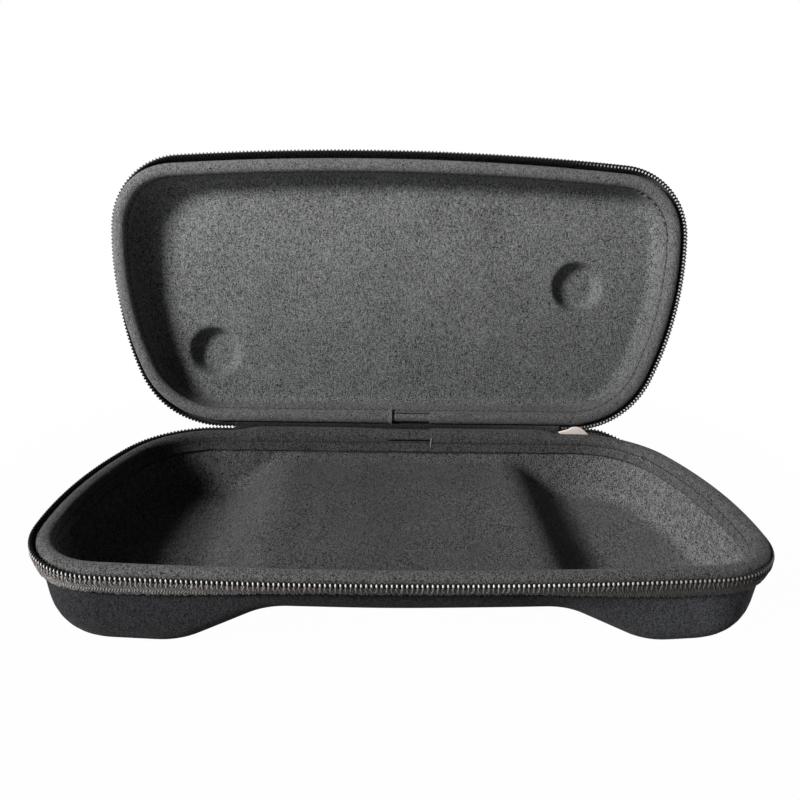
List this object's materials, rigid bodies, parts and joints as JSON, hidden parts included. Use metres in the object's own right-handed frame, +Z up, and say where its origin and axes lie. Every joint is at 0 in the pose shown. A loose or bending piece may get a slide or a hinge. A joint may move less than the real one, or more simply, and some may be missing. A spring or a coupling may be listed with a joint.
{
  "type": "portable game console case",
  "caption": "Zip-around hard case for a handheld game console: moulded tray with grip wells, hinged lid with thumb stick recesses, bound rims and a coil zip.",
  "frame": {"origin": "middle of the underside of the open case, where its feet stand", "axes": "+X to the right along the hinge, +Y to the back, towards the raised lid, +Z up"},
  "size_m": [0.31, 0.1954, 0.186],
  "materials": {
    "case_fabric": "matte heather charcoal lining inside, near-black fabric outside",
    "binding_fabric": "matte woven charcoal",
    "zip_tape": "matte brownish grey weave",
    "zip_coil": "satin black nylon",
    "zip_metal": "satin nickel plate"
  },
  "bodies": {
    "tray": {"tray_shell": "case_fabric", "tray_binding": "binding_fabric", "tray_zip_tape": "zip_tape", "tray_zip_coil": "zip_coil", "tray_top_stop": "zip_metal", "zip_bottom_stop": "zip_metal", "zip_slider": "zip_metal", "hinge_strip": "binding_fabric"},
    "lid": {"lid_shell": "case_fabric", "lid_binding": "binding_fabric", "lid_zip_tape": "zip_tape", "lid_zip_coil": "zip_coil", "lid_top_stop": "zip_metal"},
    "pull": {"zip_pull": "zip_metal"}
  },
  "joints": [
    {"name": "lid_hinge", "type": "hinge", "parent": "tray", "child": "lid", "pos_m": [0, 0.05128, 0.0395], "axis": [-1, 0, 0], "range_deg": [-100, 0], "deforming": ["hinge_strip"]},
    {"name": "pull_swing", "type": "hinge", "parent": "tray", "child": "pull", "pos_m": [0.09463, 0.05353, 0.037], "axis": [0, 0, -1], "range_deg": [0, 155]}
  ]
}
